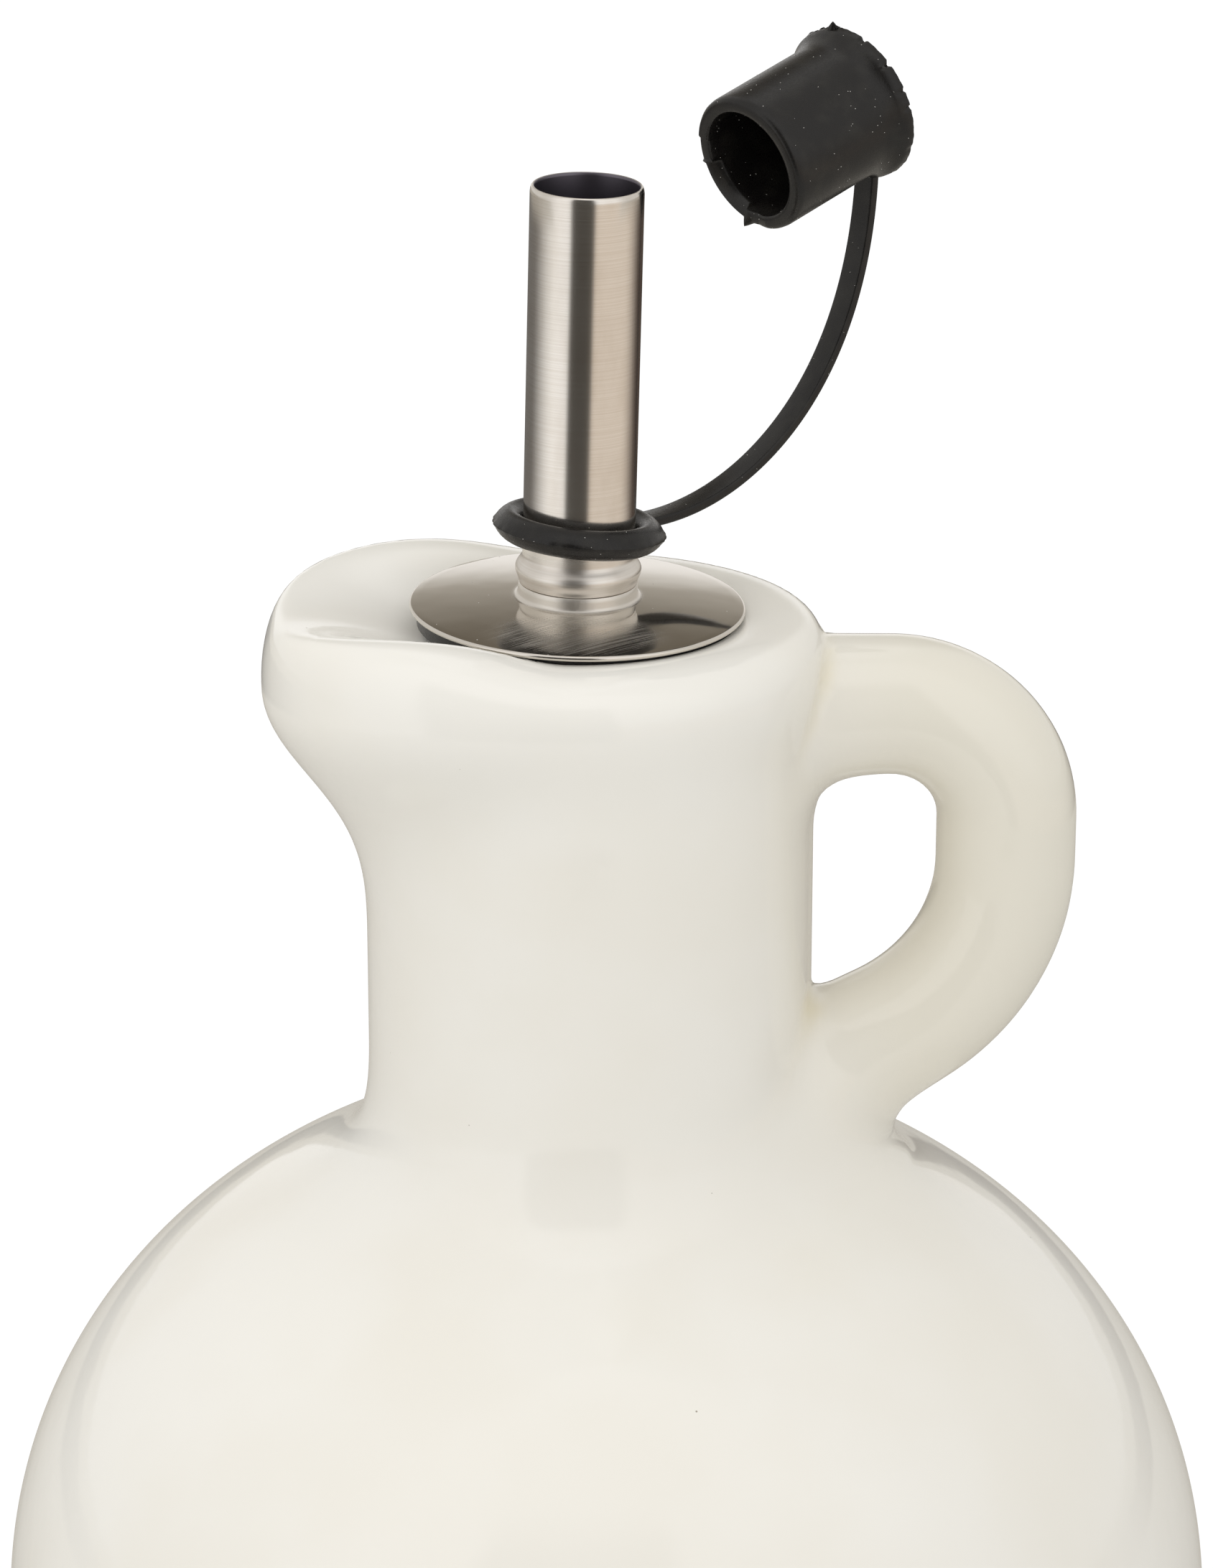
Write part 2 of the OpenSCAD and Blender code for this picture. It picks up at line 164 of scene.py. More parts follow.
SHOULDER_Z = BODY_MID + float(outline(NECK_R, BODY_RISE, BODY_R))
MOUTH_Z = SHOULDER_Z + NECK_H
BODY_FALL = BODY_MID / float(outline(FOOT_R, 1, BODY_R))
FLANGE_UNDER = DISC_SHEET - DISC_LIFT + STOPPER_FLANGE
TUBE_END = FLANGE_UNDER + STOPPER_LENGTH + TUBE_TAIL
CAP_BORE_R = TUBE_R + CAP_GAP
CAP_R = CAP_BORE_R + CAP_WALL

AT_MOUTH = Matrix.Translation((MOUTH_X, 0, MOUTH_Z)) @ Matrix.Rotation(LEAN, 4, "Y")
AT_STRAP = AT_MOUTH @ Matrix.Rotation(CAP_TURN, 4, "Z")
AT_RING = AT_STRAP @ Matrix.Translation((0, 0, RING_Z)) @ Matrix.Rotation(RING_SAG, 4, "Y")
AT_CAP = (
    AT_STRAP
    @ Matrix.Translation((CAP_REACH, 0, CAP_RISE))
    @ Matrix.Rotation(-math.pi / 2 - CAP_DIP, 4, "Y")
)


# The glazed form is a distance function, so that every junction melts into the next as glaze does

def ease(t):
    return (1 - np.cos(math.pi * t)) / 2


def melt(a, b, width):
    """The union of two forms, with a hollow curve of about half that width between them."""
    overlap = np.maximum(width - np.abs(a - b), 0) / width
    return np.minimum(a, b) - overlap**3 * width / 6


def body_distance(x, y, z):
    """How far a point lies outside the round body, measured along a line to its middle."""
    rise = z - BODY_MID
    reach = np.hypot(x, y)
    high = np.where(rise < 0, BODY_FALL, BODY_RISE)
    share = ((reach / BODY_R) ** FULLNESS + (np.abs(rise) / high) ** FULLNESS) ** (1 / FULLNESS)
    return np.hypot(reach, rise) * (1 - 1 / np.maximum(share, 1e-6))


def oval(angle, back, side, front, shape):
    """Reach of an oval that is round at the back and fuller at its drawn-out front."""
    c, s = np.cos(angle), np.abs(np.sin(angle))
    reach = np.where(c < 0, front, back)
    power = np.where(c < 0, shape, 2.0)
    return ((np.abs(c) / reach) ** power + (s / side) ** power) ** (-1 / power)


def towards_beak(angle, plain, beak):
    share = np.where(np.cos(angle) < 0, np.cos(angle) ** 2, 0)
    return plain + (beak - plain) * share


def collar_lines(angle):
    """The collar's waist, fullest line and ridge at an angle, each as a reach and a height."""
    offset = MOUTH_X - NECK_X
    neck = -offset * np.cos(angle) + np.sqrt(NECK_R**2 - (offset * np.sin(angle)) ** 2)
    late = np.maximum(0, (np.abs(angle) - CHEEK_START) / (math.pi - CHEEK_START))
    waist = neck, -towards_beak(angle, COLLAR_RUNOUT, BEAK_RUNOUT)
    full = (
        oval(angle, COLLAR_BACK, COLLAR_SIDE, BEAK_REACH, FULL_SHAPE),
        -towards_beak(angle, COLLAR_DROP, BEAK_DROP),
    )
    ridge = (
        oval(angle, RIM_BACK, RIM_SIDE, RIM_TIP, RIDGE_SHAPE),
        -RIM_DROP + CHEEK_RISE * np.sin(math.pi * late) ** 2,
    )
    return waist, full, ridge


def collar_distance(x, y, z):
    """How far a point lies outside the neck and the collar that swells out of it."""
    dx, level = x - MOUTH_X, z - MOUTH_Z
    angle, reach = np.arctan2(y, dx), np.hypot(dx, y)
    waist, full, ridge = collar_lines(angle)
    t = np.clip((level - waist[1]) / (full[1] - waist[1]), 0, 1)
    under = reach - (waist[0] + (full[0] - waist[0]) * ease(t**UNDER_DELAY))
    out, up = np.maximum(reach - ridge[0], 1e-6), np.maximum(level - full[1], 1e-6)
    share = (out / (full[0] - ridge[0])) ** ROLL_SHAPE + (up / (ridge[1] - full[1])) ** ROLL_SHAPE
    roll = np.hypot(out, up) * (1 - share ** (-1 / ROLL_SHAPE))
    inner = np.clip((ridge[0] - reach) / (ridge[0] - THROAT_R + 3), 0, 1)
    floor = -towards_beak(angle, FLANGE_UNDER, CHANNEL_DROP)
    top = level - (ridge[1] + (floor - ridge[1]) * ease(inner))
    return np.where(level < full[1], under, np.where(reach > ridge[0], roll, top))


HANDLE_ROOT_X = NECK_R - HANDLE_R
ARM_Z = MOUTH_Z - HANDLE_DROP
ARM_X = HANDLE_REACH - BEND_TOP
BACK_Z = ARM_Z - BEND_TOP
LOW_X = HANDLE_REACH - BEND_LOW
LOW_Z = BACK_Z - HANDLE_BACK
END_X = LOW_X + BEND_LOW * math.cos(HANDLE_TURN)
END_Z = LOW_Z - BEND_LOW * math.sin(HANDLE_TURN)
LOW_ARM = (END_X - HANDLE_ROOT_X) / math.sin(HANDLE_TURN)


def root_swell(x):
    return ROOT_SWELL * np.maximum(0, 1 - (x - HANDLE_ROOT_X) / ROOT_LENGTH) ** 2


def handle_distance(x, y, z):
    """How far a point lies outside the round bar of the handle."""
    level = np.clip(x, HANDLE_ROOT_X, ARM_X)
    swell = root_swell(level)
    turn = np.clip(np.arctan2(z - BACK_Z, x - ARM_X), 0, math.pi / 2)
    low = np.clip(np.arctan2(LOW_Z - z, x - LOW_X), 0, HANDLE_TURN)
    down, out = math.cos(HANDLE_TURN), math.sin(HANDLE_TURN)
    run = np.clip((END_X - x) * out + (END_Z - z) * down, 0, LOW_ARM)
    stretches = (
        (level, ARM_Z - swell, swell),
        (ARM_X + BEND_TOP * np.cos(turn), BACK_Z + BEND_TOP * np.sin(turn), 0),
        (np.full_like(x, HANDLE_REACH), np.clip(z, LOW_Z, BACK_Z), 0),
        (LOW_X + BEND_LOW * np.cos(low), LOW_Z - BEND_LOW * np.sin(low), 0),
        (END_X - run * out, END_Z - run * down, 0),
    )
    far = [np.sqrt((x - px) ** 2 + y**2 + (z - pz) ** 2) - HANDLE_R - more for px, pz, more in stretches]
    return np.min(far, axis=0)


def glaze_distance(points):
    """How far points lie outside the whole glazed form."""
    x, y, z = points.T
    seam = np.maximum(np.hypot(x - SEAM_X, y) - SEAM_R, z - ARM_Z)
    neck = melt(collar_distance(x, y, z), seam, SEAM_CURVE)
    form = melt(neck, body_distance(x, y, z), NECK_CURVE)
    below_arm = ARM_Z - z
    crease, loop_top, loop_foot, shoulder = 0.9, 5.5, 1.5, 20.0
    width = np.interp(
        below_arm,
        (0, 7, 10, 18, 26, 44),
        (crease, loop_top, loop_top, loop_foot, loop_foot, shoulder),
    )
    form = melt(form, handle_distance(x, y, z), width)
    return -melt(-form, z, FOOT_EDGE)


def glaze_slope(points):
    """The distance at each point and its gradient."""
    step = 0.02
    slope = np.empty_like(points)
    for axis in range(3):
        shift = np.zeros(3)
        shift[axis] = step
        slope[:, axis] = glaze_distance(points + shift) - glaze_distance(points - shift)
    return glaze_distance(points), slope / (2 * step)


# Meshes from points in millimetres

def new_piece(name, points, faces, material, place=Matrix()):
    """A smooth piece from points in millimetres, with its place in its mesh and its faces outwards."""
    mesh = bpy.data.meshes.new(name)
    turned = np.reshape(np.asarray(points, float), (-1, 3)) @ np.array(place.to_3x3()).T
    moved = turned + np.array(place.translation)
    mesh.from_pydata((moved * MM).tolist(), [], [list(f) for f in faces])
    piece = bpy.data.objects.new(name, mesh)
    bpy.context.scene.collection.objects.link(piece)
    if material:
        mesh.materials.append(material)
    work = bmesh.new()
    work.from_mesh(mesh)
    bmesh.ops.remove_doubles(work, verts=work.verts, dist=1e-7)
    bmesh.ops.recalc_face_normals(work, faces=work.faces)
    work.to_mesh(mesh)
    work.free()
    smooth(mesh)
    return piece


def smooth(mesh, sharp=50):
    mesh.shade_smooth()
    mesh.set_sharp_from_angle(angle=math.radians(sharp))


def revolved(section, turns, loop=False):
    """Points and faces of a form turned round Z. section(angle) gives its outline as (reach, height);
    a loop's outline closes on itself, and any other is closed by its two ends on the axis."""
    angles = [2 * math.pi * i / turns for i in range(turns)]
    rows = [section(a) for a in angles]
    count = len(rows[0])
    points = [(r * math.cos(a), r * math.sin(a), z) for a, row in zip(angles, rows) for r, z in row]
    faces = []
    for i in range(turns):
        j = (i + 1) % turns
        for k in range(count if loop else count - 1):
            m = (k + 1) % count
            faces.append((i * count + k, j * count + k, j * count + m, i * count + m))
    if not loop:
        for k, wind in ((0, 1), (count - 1, -1)):
            faces.append(tuple(i * count + k for i in range(turns))[::wind])
    return points, faces


def swept(path, radius, sides):
    """Points and faces of a round bar along (x, z, heading) points in the plane of the handle."""
    points, faces = [], []
    for x, z, heading in path:
        for i in range(sides):
            a = 2 * math.pi * i / sides
            out = radius * math.cos(a)
            points.append((x + out * math.sin(heading), radius * math.sin(a), z + out * math.cos(heading)))
    for n in range(len(path) - 1):
        for i in range(sides):
            j = (i + 1) % sides
            faces.append((n * sides + i, n * sides + j, (n + 1) * sides + j, (n + 1) * sides + i))
    faces.append(tuple(range(sides))[::-1])
    faces.append(tuple((len(path) - 1) * sides + i for i in range(sides)))
    return points, faces


def apply_modifiers(piece):
    graph = bpy.context.evaluated_depsgraph_get()
    mesh = bpy.data.meshes.new_from_object(piece.evaluated_get(graph))
    old = piece.data
    piece.modifiers.clear()
    piece.data = mesh
    bpy.data.meshes.remove(old)


def fit_out(piece, node, body):
    """The piece takes a CAD node's place and moves with its body."""
    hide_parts(node)
    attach(piece, body)


# Node trees

class Value:
    """A socket on which plain arithmetic adds Math nodes."""

    def __init__(self, nodes, socket):
        self.nodes, self.socket = nodes, socket

    def math(self, operation, *values):
        return self.nodes.add("ShaderNodeMath", {"operation": operation}, dict(enumerate(values)))

    def output(self, name):
        return Value(self.nodes, self.socket.node.outputs[name])

    def __add__(self, other):
        return self.math("ADD", self, other)

    def __sub__(self, other):
        return self.math("SUBTRACT", self, other)

    def __rsub__(self, other):
        return self.math("SUBTRACT", other, self)

    def __mul__(self, other):
        return self.math("MULTIPLY", self, other)

    def __truediv__(self, other):
        return self.math("DIVIDE", self, other)

    def __gt__(self, other):
        return self.math("GREATER_THAN", self, other)

    def __pow__(self, other):
        return self.math("POWER", self, other)

    def __abs__(self):
        return self.math("ABSOLUTE", self)

    __radd__, __rmul__ = __add__, __mul__


class Nodes:
    """A node tree, and the one method that adds a node to it."""

    def __init__(self, tree):
        self.tree = tree
        tree.nodes.clear()

    def add(self, kind, settings=None, inputs=None, output=0):
        """A new node with values or links on its inputs, and a list where one input takes many links."""
        node = self.tree.nodes.new(kind)
        for name, value in (settings or {}).items():
            setattr(node, name, value)
        for name, value in (inputs or {}).items():
            for source in value if isinstance(value, list) else [value]:
                if isinstance(source, Value):
                    self.tree.links.new(source.socket, node.inputs[name])
                else:
                    node.inputs[name].default_value = source
        return Value(self, node.outputs[output]) if node.outputs else None


class Shader(Nodes):
    """A material's or the world's nodes. Its scales are in features for each millimetre."""

    def place(self, name="Object"):
        return self.add("ShaderNodeTexCoord", output=name)

    def axes(self, vector):
        first = self.add("ShaderNodeSeparateXYZ", {}, {"Vector": vector})
        return first, first.output("Y"), first.output("Z")

    def grain(self, lengths, turn=0.0):
        """Places whose features are as long as these lengths along X, Y and Z, turned about Z."""
        inputs = {"Vector": self.place(), "Scale": lengths, "Rotation": (0, 0, math.radians(turn))}
        return self.add("ShaderNodeMapping", {"vector_type": "TEXTURE"}, inputs)

    def from_axis(self):
        """How far the spout's leaning axis is, in millimetres to the right and to the back."""
        x, y, z = self.axes(self.place())
        return x / MM - MOUTH_X - (z / MM - MOUTH_Z) * math.tan(LEAN), y / MM

    def noise(self, scale, detail=2.0, rough=0.5, vector=None):
        values = {"Vector": vector or self.place(), "Scale": scale / MM, "Detail": detail, "Roughness": rough}
        return self.add("ShaderNodeTexNoise", {}, values)

    def between(self, value, low, high, to_low=0.0, to_high=1.0):
        values = {"Value": value, "From Min": low, "From Max": high, "To Min": to_low, "To Max": to_high}
        return self.add("ShaderNodeMapRange", {"interpolation_type": "SMOOTHSTEP"}, values)

    def mixed(self, share, first, second):
        return self.add("ShaderNodeMix", {"data_type": "RGBA"}, {0: share, 6: first, 7: second}, output=2)

    def bump(self, height, distance, strength=1.0):
        values = {"Height": height, "Distance": distance * MM, "Strength": strength}
        return self.add("ShaderNodeBump", {}, values)

    def finish(self, **sockets):
        """The Principled shader with these sockets, and the tree's output."""
        named = {name.replace("_", " "): value for name, value in sockets.items()}
        surface = self.add("ShaderNodeBsdfPrincipled", {}, named)
        self.add("ShaderNodeOutputMaterial", {}, {"Surface": surface})


def new_material(name):
    material = bpy.data.materials.new(name)
    material.use_nodes = True
    return material, Shader(material.node_tree)


class Growth(Nodes):
    """A Geometry Nodes tree with named inputs, which makes a plain mesh of one piece."""

    def __init__(self, name, material, **inputs):
        super().__init__(bpy.data.node_groups.new(name, "GeometryNodeTree"))
        face = self.tree.interface
        face.new_socket("Geometry", in_out="OUTPUT", socket_type="NodeSocketGeometry")
        face.new_socket("Geometry", in_out="INPUT", socket_type="NodeSocketGeometry")
        self.values = {}
        for label, value in {"Material": material, **inputs}.items():
            kind = {float: "Float", int: "Int", bpy.types.Material: "Material"}.get(type(value), "Vector")
            socket = face.new_socket(label, in_out="INPUT", socket_type="NodeSocket" + kind)
            self.values[socket.identifier] = value
        self.entry = self.add("NodeGroupInput")

    def __getitem__(self, label):
        return self.entry.output(label)

    def make(self, piece, geometry):
        real = self.add("GeometryNodeRealizeInstances", {}, {"Geometry": geometry})
        dressed = self.add("GeometryNodeSetMaterial", {}, {"Geometry": real, "Material": self["Material"]})
        self.add("NodeGroupOutput", {}, {"Geometry": dressed})
        modifier = piece.modifiers.new("growth", "NODES")
        modifier.node_group = self.tree
        for identifier, value in self.values.items():
            modifier[identifier] = value
        apply_modifiers(piece)
        smooth(piece.data)
        return piece


def rgb(red, green, blue):
    """A colour given as it looks on a screen, from 0 to 255."""
    def linear(c):
        c /= 255
        return c / 12.92 if c <= 0.04045 else ((c + 0.055) / 1.055) ** 2.4
    return (linear(red), linear(green), linear(blue), 1.0)


# Materials

def ivory_glaze():
    """Ivory glaze, deeper on the handle and deeper and yellower in hollows and creases, partly where it pools
    and partly as painted shade, with fine dark specks and a bare foot.
    """
    material, s = new_material("ivory_glaze")
    right, _, height = (axis / MM for axis in s.axes(s.place()))
    cloud = s.between(s.noise(0.035, 3), 0.35, 0.65)
    tone = s.mixed(cloud, rgb(235, 231, 221), rgb(238, 235, 227))
    on_handle = s.between(right, 13, 30) * s.between(height, 82, 100)
    tone = s.mixed(on_handle, tone, rgb(228, 223, 209))
    # Deeper, yellower tone in hollows and creases: partly glaze pooling, partly painted shade
    pool_and_shade = s.add("ShaderNodeAttribute", {"attribute_name": "pooling"}, output="Fac")
    tone = s.mixed(s.between(pool_and_shade, 0.05, 0.8, 0, 0.9), tone, rgb(227, 215, 178))
    cells = {"Vector": s.place(), "Scale": 0.18 / MM}
    near = s.add("ShaderNodeTexVoronoi", {}, cells)
    pick = s.add("ShaderNodeTexWhiteNoise", {}, {"Vector": near.output("Position")})
    speck = s.between(near, 0.01, 0.022, 1, 0) * (pick > 0.4)
    tone = s.mixed(speck * 0.75, tone, rgb(120, 105, 82))
    bare = s.between(height, 0.25, 0.6, 1, 0)
    clay = s.mixed(s.between(s.noise(2.5, 4), 0.3, 0.7), rgb(214, 199, 172), rgb(232, 220, 198))
    tone = s.mixed(bare, tone, clay)
    waves = s.noise(0.09) + s.noise(0.55) * 0.1 - speck * 0.15
    s.finish(
        Base_Color=tone,
        Roughness=s.between(bare, 0, 1, 0.07, 0.8),
        IOR=1.5,
        Normal=s.bump(waves, 0.12, 0.6),
    )
    return material


def polished_steel():
    """Mirror steel, duller on its collar, with fine slanting scratches in front of the tube."""
    material, s = new_material("polished_steel")
    lines = s.noise(1.0, 2, vector=s.grain((9, 0.12, 1), turn=36))
    right, back = s.from_axis()
    near = ((right * 0.6) ** 2 + (back + 10) ** 2) ** 0.5
    patch = s.between(near, 3, 6, 1, 0)
    scratch = s.between(lines, 0.5, 0.6) * patch
    haze = s.between(s.noise(0.3, 3), 0.4, 0.7)
    reach = (right * right + back * back) ** 0.5
    collar = s.between(reach, DISC_COLLAR_R + 0.2, DISC_COLLAR_R + 0.8, 1, 0)
    s.finish(
        Base_Color=rgb(222, 217, 209),
        Metallic=1.0,
        Roughness=0.06 + patch * 0.16 + scratch * 0.16 + collar * 0.24 + haze * 0.04,
        Normal=s.bump(s.noise(0.12), 0.05),
    )
    return material


def brushed_steel():
    """Steel brushed around the tube, duller about its bead, and darker and duller inside, where the darker
    colour is painted shade.
    """
    material, s = new_material("brushed_steel")
    rings = s.noise(1.0, 3, 0.6, vector=s.grain((30, 30, 0.14)))
    blotch = s.between(s.noise(1.0, 3, vector=s.grain((2.5, 2.5, 6))), 0.4, 0.7)
    right, back = s.from_axis()
    # Inside the tube the colour is darkened: painted shade
    inside = s.between((right * right + back * back) ** 0.5, TUBE_R - 0.34, TUBE_R - 0.26, 1, 0)
    height = s.axes(s.place())[2] / MM - MOUTH_Z
    about_bead = s.between(height, BEAD_H + 1.5, BEAD_H + 3, 1, 0)
    tone = s.mixed(s.between(rings, 0.3, 0.7), rgb(226, 220, 212), rgb(235, 231, 225))
    tone = s.mixed(blotch * 0.4, tone, rgb(214, 206, 196))
    s.finish(
        Base_Color=s.mixed(inside, tone, rgb(112, 108, 116)),
        Metallic=1.0,
        Roughness=0.17 + inside * 0.2 + about_bead * 0.13,
        Anisotropic=0.4,
        Normal=s.bump(rings, 0.003, 0.08),
    )
    return material


def black_rubber(name, low, high):
    material, s = new_material(name)
    grain = s.noise(6, 3)
    bloom = s.between(s.noise(0.5, 3), 0.4, 0.75)
    s.finish(
        Base_Color=s.mixed(bloom, low, high),
        Roughness=s.between(grain, 0.3, 0.7, 0.26, 0.38),
        IOR=1.42,
        Normal=s.bump(grain + s.noise(1.1) * 1.5, 0.02, 0.5),
    )
    return material


def pale_dust():
    material, s = new_material("pale_dust")
    s.finish(Base_Color=rgb(206, 203, 196), Roughness=0.8)
    return material


# The bottle

def collar_net():
    """The neck's top and the collar, a little plainer than the form that they settle on."""
    def section(angle):
        angle = (angle + math.pi) % (2 * math.pi) - math.pi
        waist, full, ridge = (tuple(float(v) for v in pair) for pair in collar_lines(angle))
        floor = -float(towards_beak(angle, FLANGE_UNDER, CHANNEL_DROP))
        rows = [(0.0, waist[1] - 12), (waist[0], waist[1] - 12)]
        for t in np.linspace(0, 1, 14)[:-1]:
            swell = float(ease(t**UNDER_DELAY))
            rows.append((waist[0] + (full[0] - waist[0]) * swell, waist[1] + (full[1] - waist[1]) * t))
        for t in np.linspace(0, math.pi / 2, 9):
            rows.append((
                ridge[0] + (full[0] - ridge[0]) * math.cos(t) ** (2 / ROLL_SHAPE),
                full[1] + (ridge[1] - full[1]) * math.sin(t) ** (2 / ROLL_SHAPE),
            ))
        for t in np.linspace(0, 1, 6)[1:]:
            rows.append((
                ridge[0] + (THROAT_R - 3 - ridge[0]) * t,
                ridge[1] + (floor - ridge[1]) * float(ease(t)),
            ))
        return rows + [(0.0, floor)]
    points, faces = revolved(section, 160)
    return [(x + MOUTH_X, y, z + MOUTH_Z) for x, y, z in points], faces


def handle_bar():
    path = [(x, ARM_Z, 0.0) for x in np.linspace(HANDLE_ROOT_X, ARM_X, 6)[:-1]]
    path += [(ARM_X + BEND_TOP * math.sin(a), BACK_Z + BEND_TOP * math.cos(a), a)
             for a in np.linspace(0, math.pi / 2, 14)]
    path += [(LOW_X + BEND_LOW * math.cos(a), LOW_Z - BEND_LOW * math.sin(a), math.pi / 2 + a)
             for a in np.linspace(0, HANDLE_TURN, 12)]
    path += [(END_X - s * math.sin(HANDLE_TURN), END_Z - s * math.cos(HANDLE_TURN), math.pi / 2 + HANDLE_TURN)
             for s in np.linspace(0, LOW_ARM, 5)[1:]]
    return swept(path, HANDLE_R, 40)


def outer_shells():
    """Plain closed shells of the body, the neck, the collar and the handle, which overlap."""
    from_foot = math.asin(BODY_MID / BODY_FALL)
    body = [(0.0, 0.0)] + [
        (float(outline(high * math.sin(a), BODY_R, high)), BODY_MID + high * math.sin(a))
        for a in np.linspace(-from_foot, math.pi / 2, 60)
        for high in [BODY_FALL if a < 0 else BODY_RISE]
    ]
    yield revolved(lambda a: body, 128)
    low, high = SHOULDER_Z - 20, MOUTH_Z - 12
    points, faces = revolved(lambda a: [(0.0, low), (NECK_R, low), (NECK_R, high), (0.0, high)], 96)
    yield [(x + NECK_X, y, z) for x, y, z in points], faces
    yield collar_net()
    yield handle_bar()


def neighbour_mean(values, ends):
    """The mean of each point's neighbours, for rows of values."""
    total = np.zeros_like(values)
    count = np.bincount(ends.ravel(), minlength=len(values))[:, None]
    for column in range(values.shape[1]):
        for here, there in ((0, 1), (1, 0)):
            total[:, column] += np.bincount(ends[:, here], values[ends[:, there], column], len(values))
    return total / np.maximum(count, 1)


def glazed_skin(voxel):
    """The outer shells made one skin, which is then evened out and settled on the glazed form."""
    points, faces = [], []
    for shell_points, shell_faces in outer_shells():
        faces += [tuple(i + len(points) for i in f) for f in shell_faces]
        points += list(shell_points)
    piece = new_piece("glazed_bottle", points, faces, None)
    skin = piece.modifiers.new("skin", "REMESH")
    skin.mode = "VOXEL"
    skin.voxel_size = voxel * MM
    apply_modifiers(piece)
    mesh = piece.data
    points = np.empty(len(mesh.vertices) * 3)
    mesh.vertices.foreach_get("co", points)
    points = points.reshape(-1, 3) / MM
    ends = np.empty(len(mesh.edges) * 2, int)
    mesh.edges.foreach_get("vertices", ends)
    ends = ends.reshape(-1, 2)
    for even in (0.5, 0.5, 0.5, 0.3, 0.0):
        points += even * (neighbour_mean(points, ends) - points)
        for _ in range(2):
            far, slope = glaze_slope(points)
            size = np.maximum((slope**2).sum(1), 0.05)
            points -= slope * np.clip(far / size, -1.5, 1.5)[:, None]
    _, slope = glaze_slope(points)
    normal = slope / np.linalg.norm(slope, axis=1)[:, None]
    hollow = ((neighbour_mean(points, ends) - points) * normal).sum(1, keepdims=True) / voxel**2
    for _ in range(12):
        hollow = 0.5 * hollow + 0.5 * neighbour_mean(hollow, ends)
    mesh.vertices.foreach_set("co", (points * MM).ravel())
    # How hollow each point is, which the glaze turns into a deeper tone: glaze pooling and painted shade in
    # creases
    pooling = mesh.attributes.new("pooling", "FLOAT", "POINT")
    pooling.data.foreach_set("value", np.clip(hollow[:, 0] * 8, 0, 1).astype(np.float32))
    mesh.update()
    return piece


def hollow_cutter():
    """The body's hollow, the neck's bore, the throat with its seats and the foot's hollow."""
    wide, rise, fall = BODY_R - BODY_WALL, BODY_RISE - BODY_WALL, BODY_FALL - BODY_WALL
    low = -(BODY_MID - FOOT_HOLLOW - BODY_WALL)
    top = float(outline(NECK_BORE_R, BODY_RISE, BODY_R)) - BODY_WALL
    hollow = [(0.0, BODY_MID + low)] + [
        (float(outline(high * math.sin(a), wide, high)), BODY_MID + high * math.sin(a))
        for a in np.linspace(math.asin(low / fall), math.asin(top / rise), 40)
        for high in [fall if a < 0 else rise]
    ] + [(0.0, BODY_MID + top)]
    throat_low = MOUTH_Z - FLANGE_UNDER - THROAT_LENGTH
    bore = [(0.0, BODY_MID), (NECK_BORE_R, BODY_MID), (NECK_BORE_R, throat_low - NECK_BORE_R + THROAT_R),
            (THROAT_R, throat_low), (0.0, throat_low)]
    lip, clear, play = 0.7, 0.05, 0.2
    seat = -FLANGE_UNDER - clear
    disc_seat = DISC_LIFT - DISC_SHEET - clear
    mouth = [(0.0, -FLANGE_UNDER - 20), (THROAT_R, -FLANGE_UNDER - 20)]
    mouth += [(THROAT_R + lip * (1 - math.cos(a)), seat - lip + lip * math.sin(a))
              for a in np.linspace(0, math.pi / 2, 6)]
    mouth += [(STOPPER_FLANGE_R + play, seat), (STOPPER_FLANGE_R + play, disc_seat - 0.15),
              (STOPPER_FLANGE_R + 0.35, disc_seat), (DISC_R + play, disc_seat),
              (DISC_R + 0.25, 0.3), (DISC_R + 0.9, 3.0), (0.0, 3.0)]
    ring_r = FOOT_R - FOOT_RING
    foot = [(0.0, -2.0), (ring_r + 0.6, -2.0), (ring_r + 0.6, 0.0), (ring_r, 0.6),
            (ring_r - 0.8, FOOT_HOLLOW), (0.0, FOOT_HOLLOW)]
    places = (Matrix(), Matrix.Translation((NECK_X, 0, 0)), AT_MOUTH, Matrix())
    parts = [
        new_piece("cutter", *revolved(lambda a, rows=rows: rows, 96), None, place)
        for rows, place in zip((hollow, bore, mouth, foot), places)
    ]
    for part in parts[1:]:
        join_on(parts[0], part, "UNION")
    return parts[0]


def join_on(piece, other, operation):
    """Joins another piece to this one or cuts it away, and removes the other."""
    change = piece.modifiers.new(operation.lower(), "BOOLEAN")
    change.operation, change.solver, change.object = operation, "EXACT", other
    apply_modifiers(piece)
    bpy.data.objects.remove(other)


def make_bottle():
    piece = glazed_skin(voxel=0.8)
    join_on(piece, hollow_cutter(), "DIFFERENCE")
    piece.data.materials.clear()
    piece.data.materials.append(ivory_glaze())
    smooth(piece.data)
    fit_out(piece, "bottle", "bottle")


# The pouring spout

def dome_under(r):
    """Underside of the domed disc at a reach from its axis."""
    rise = DISC_DOME * (DISC_R**2 - r * r) / (DISC_R**2 - DISC_COLLAR_R**2)
    return DISC_LIFT - DISC_SHEET + rise


